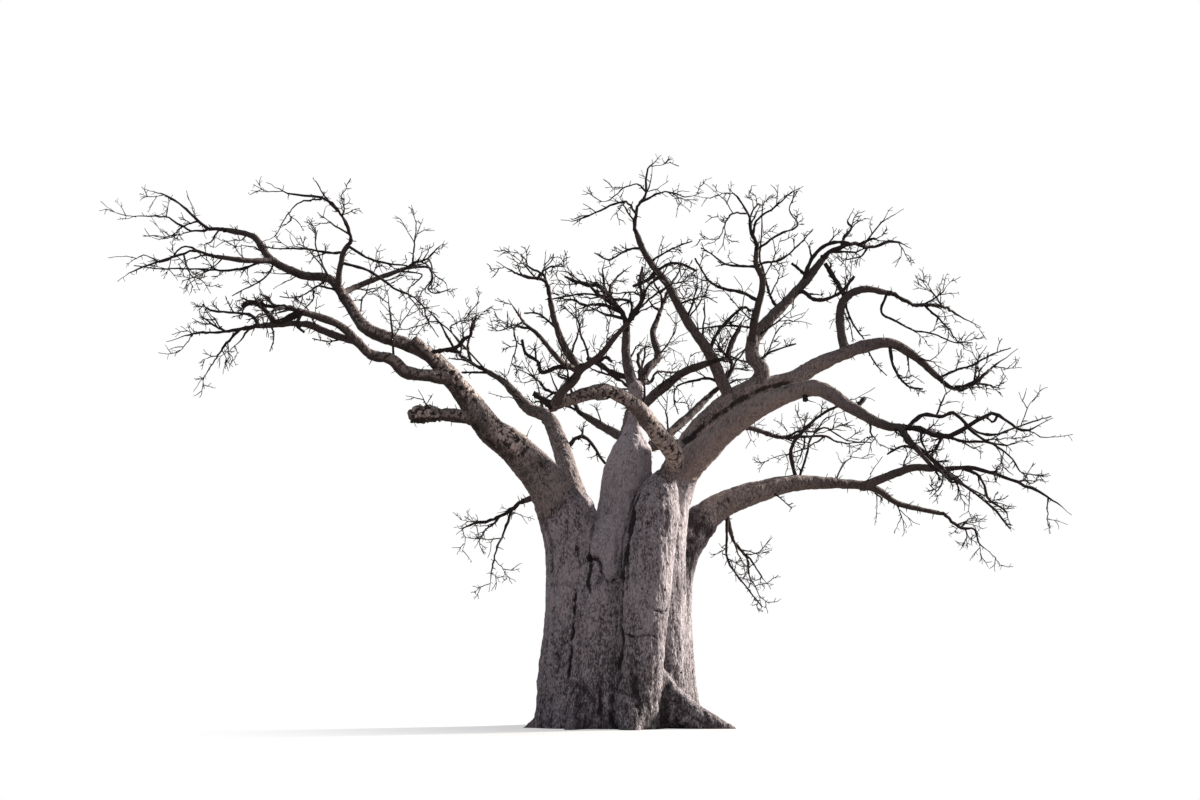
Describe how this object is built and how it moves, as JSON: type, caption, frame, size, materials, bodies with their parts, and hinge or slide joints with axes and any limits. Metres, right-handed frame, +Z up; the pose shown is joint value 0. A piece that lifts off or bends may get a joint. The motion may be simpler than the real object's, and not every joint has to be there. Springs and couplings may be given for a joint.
{
  "type": "bare baobab tree",
  "caption": "Leafless baobab: a broad trunk of fused stems with spreading tapering boughs that end in open masses of crooked bare twigs; flat cut at the ground.",
  "frame": {"origin": "middle of the flat cut under the trunk, at ground level", "axes": "+Z up along the trunk, +X to the right of the front view along the crown's widest spread, +Y away from the viewer"},
  "size_m": [24.421, 13.9382, 13.672],
  "materials": {
    "trunk_bark": "rough grey-brown bark with folds, pits and cracks",
    "bough_bark": "matte grey-brown bark, paler on top",
    "twig_bark": "matte dark brown"
  },
  "bodies": {
    "root": {"trunk": "trunk_bark", "left_great_bough": "bough_bark", "left_burl_stub": "bough_bark", "left_low_bough": "bough_bark", "left_low_fork": "bough_bark", "left_high_bough": "bough_bark", "left_far_fork": "bough_bark", "left_top_fork": "bough_bark", "left_inner_fork": "bough_bark", "left_rear_bough": "bough_bark", "left_hanging_bough": "bough_bark", "rear_great_bough": "bough_bark", "rear_left_fork": "bough_bark", "rear_right_fork": "bough_bark", "rear_low_fork": "bough_bark", "centre_upright_bough": "bough_bark", "centre_bent_bough": "bough_bark", "centre_right_bough": "bough_bark", "front_arch_bough": "bough_bark", "front_upright_bough": "bough_bark", "front_left_fork": "bough_bark", "front_right_fork": "bough_bark", "right_great_bough": "bough_bark", "right_front_bough": "bough_bark", "right_front_fork": "bough_bark", "top_bough": "bough_bark", "right_winding_bough": "bough_bark", "right_upright_fork": "bough_bark", "right_outer_fork": "bough_bark", "right_low_bough": "bough_bark", "right_low_fork": "bough_bark", "right_hanging_fork": "bough_bark", "twigs_left_low_bough": "twig_bark", "twigs_left_low_fork": "twig_bark", "twigs_left_high_bough": "twig_bark", "twigs_left_far_fork": "twig_bark", "twigs_left_top_fork": "twig_bark", "twigs_left_inner_fork": "twig_bark", "twigs_left_rear_bough": "twig_bark", "twigs_left_hanging_bough": "twig_bark", "twigs_rear_great_bough": "twig_bark", "twigs_rear_left_fork": "twig_bark", "twigs_rear_right_fork": "twig_bark", "twigs_rear_low_fork": "twig_bark", "twigs_centre_upright_bough": "twig_bark", "twigs_centre_bent_bough": "twig_bark", "twigs_centre_right_bough": "twig_bark", "twigs_front_upright_bough": "twig_bark", "twigs_front_left_fork": "twig_bark", "twigs_front_right_fork": "twig_bark", "twigs_right_great_bough": "twig_bark", "twigs_right_front_bough": "twig_bark", "twigs_right_front_fork": "twig_bark", "twigs_top_bough": "twig_bark", "twigs_right_winding_bough": "twig_bark", "twigs_right_upright_fork": "twig_bark", "twigs_right_outer_fork": "twig_bark", "twigs_right_low_bough": "twig_bark", "twigs_right_low_fork": "twig_bark", "twigs_right_hanging_fork": "twig_bark"}
  },
  "joints": []
}
